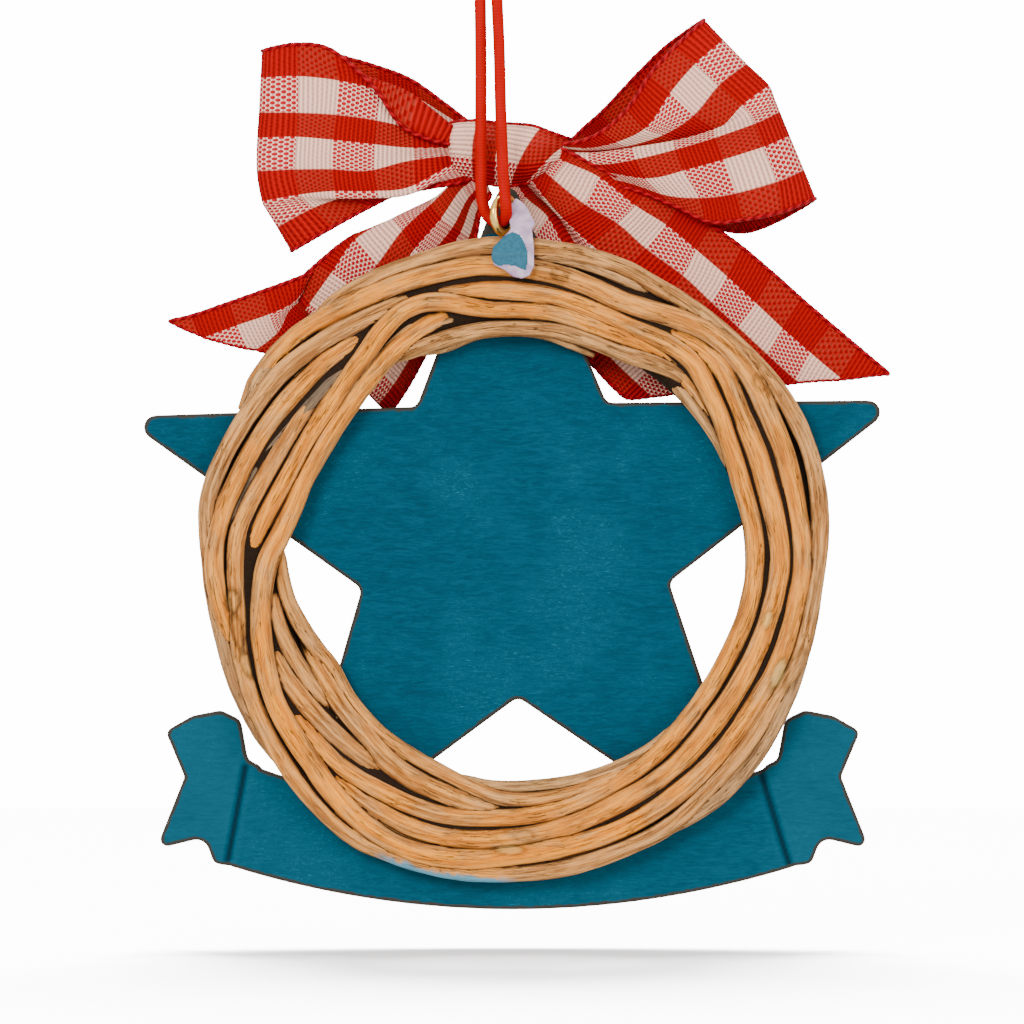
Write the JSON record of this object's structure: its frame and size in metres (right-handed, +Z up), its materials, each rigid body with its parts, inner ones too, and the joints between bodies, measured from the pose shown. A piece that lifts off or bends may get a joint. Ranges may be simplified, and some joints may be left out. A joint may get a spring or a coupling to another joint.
{
  "type": "star wreath hanging ornament",
  "caption": "Cast vine wreath with a star across its front and a scroll banner below, a tied gingham ribbon bow on top, hung by a cord through a small ring.",
  "frame": {"origin": "the point the ornament hangs from, between the two strands of the cord, just under its knot", "axes": "+Z up, +Y from the vine side to the star side, +X to the right when the vine side is looked at"},
  "size_m": [0.0935, 0.0171, 0.1262],
  "materials": {
    "vine_paint": "cast resin painted as bare vines, tan with orange dry brushing and dark grooves",
    "teal_paint": "brushed satin teal paint on cast resin",
    "gold_wire": "bright gold plated wire",
    "dried_glue": "cloudy dried glue, smooth and slightly see-through",
    "gingham_ribbon": "woven red and cream gingham ribbon with corded edges",
    "satin_cord": "red satin cord"
  },
  "bodies": {
    "root": {"wreath_star_casting": "vine_paint", "jump_ring": "gold_wire", "glue_dab": "dried_glue", "ribbon_bow": "gingham_ribbon", "hanging_cord": "satin_cord", "cord_knot": "satin_cord"}
  },
  "joints": []
}
